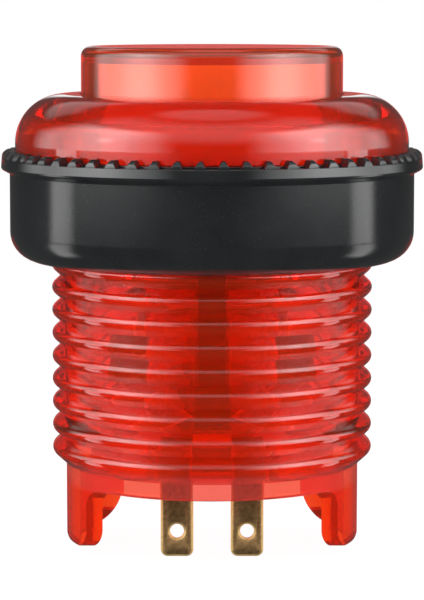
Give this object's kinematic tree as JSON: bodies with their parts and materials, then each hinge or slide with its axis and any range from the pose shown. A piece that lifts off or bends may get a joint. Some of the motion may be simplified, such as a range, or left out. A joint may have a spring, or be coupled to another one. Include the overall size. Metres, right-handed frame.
{
  "type": "illuminated push button",
  "caption": "Translucent red illuminated push button with a domed bezel, a threaded barrel, a serrated ring nut and quick-connect tabs, for a 28 mm panel hole.",
  "frame": {"origin": "on the button's axis, in the plane of the panel's upper face, where the bezel seats", "axes": "+Z along the button's axis, out of the panel towards the player; -Y is the side with the two switch tabs"},
  "size_m": [0.0366, 0.0366, 0.0435],
  "materials": {
    "clear_red": "clear translucent red, polished",
    "clear_red_cap": "clear translucent red, polished",
    "diffuser": "translucent orange-red, lightly frosted",
    "nut_black": "satin moulded",
    "inner_black": "fine moulded texture",
    "lamp_white": "satin moulded",
    "led_epoxy": "clear epoxy",
    "resistor_body": "satin",
    "brass": "stamped, slightly tarnished",
    "copper_alloy": "rolled phosphor bronze",
    "silver": "turned contact rivets",
    "spring_steel": "drawn wire",
    "tinned_wire": "tinned"
  },
  "bodies": {
    "housing": {"housing": "clear_red", "return_spring": "spring_steel", "base_plate": "clear_red", "contact_block_left": "inner_black", "contact_block_right": "inner_black", "switch_terminal_left": "brass", "switch_terminal_right": "brass", "fixed_contact_left": "silver", "fixed_contact_right": "silver", "lamp_socket": "inner_black", "lamp_terminal_left": "brass", "lamp_terminal_right": "brass", "lamp_base": "lamp_white", "led_lens": "led_epoxy", "lamp_lead_left": "tinned_wire", "lamp_lead_right": "tinned_wire", "series_resistor": "resistor_body"},
    "nut": {"ring_nut": "nut_black"},
    "plunger": {"plunger_cap": "clear_red_cap", "cap_insert": "diffuser", "guide_carrier": "inner_black", "contact_spring": "spring_steel", "bridge_retainer": "spring_steel"},
    "bridge": {"bridge_contact": "copper_alloy", "bridge_tips": "silver"}
  },
  "joints": [
    {"name": "plunger_press", "type": "slide", "parent": "housing", "child": "plunger", "axis": [0, 0, -1], "range_m": [0, 0.003], "stiffness_N_per_m": 150, "springref_m": -0.004, "deforming": ["return_spring"]},
    {"name": "bridge_lift", "type": "slide", "parent": "plunger", "child": "bridge", "axis": [0, 0, 1], "range_m": [0, 0.001], "deforming": ["contact_spring"]},
    {"name": "nut_travel", "type": "slide", "parent": "housing", "child": "nut", "axis": [0, 0, -1], "range_m": [0, 0.0165]}
  ],
  "couplings": [
    {"joint": "bridge_lift", "follows": "plunger_press", "ratio": 0.3333}
  ]
}
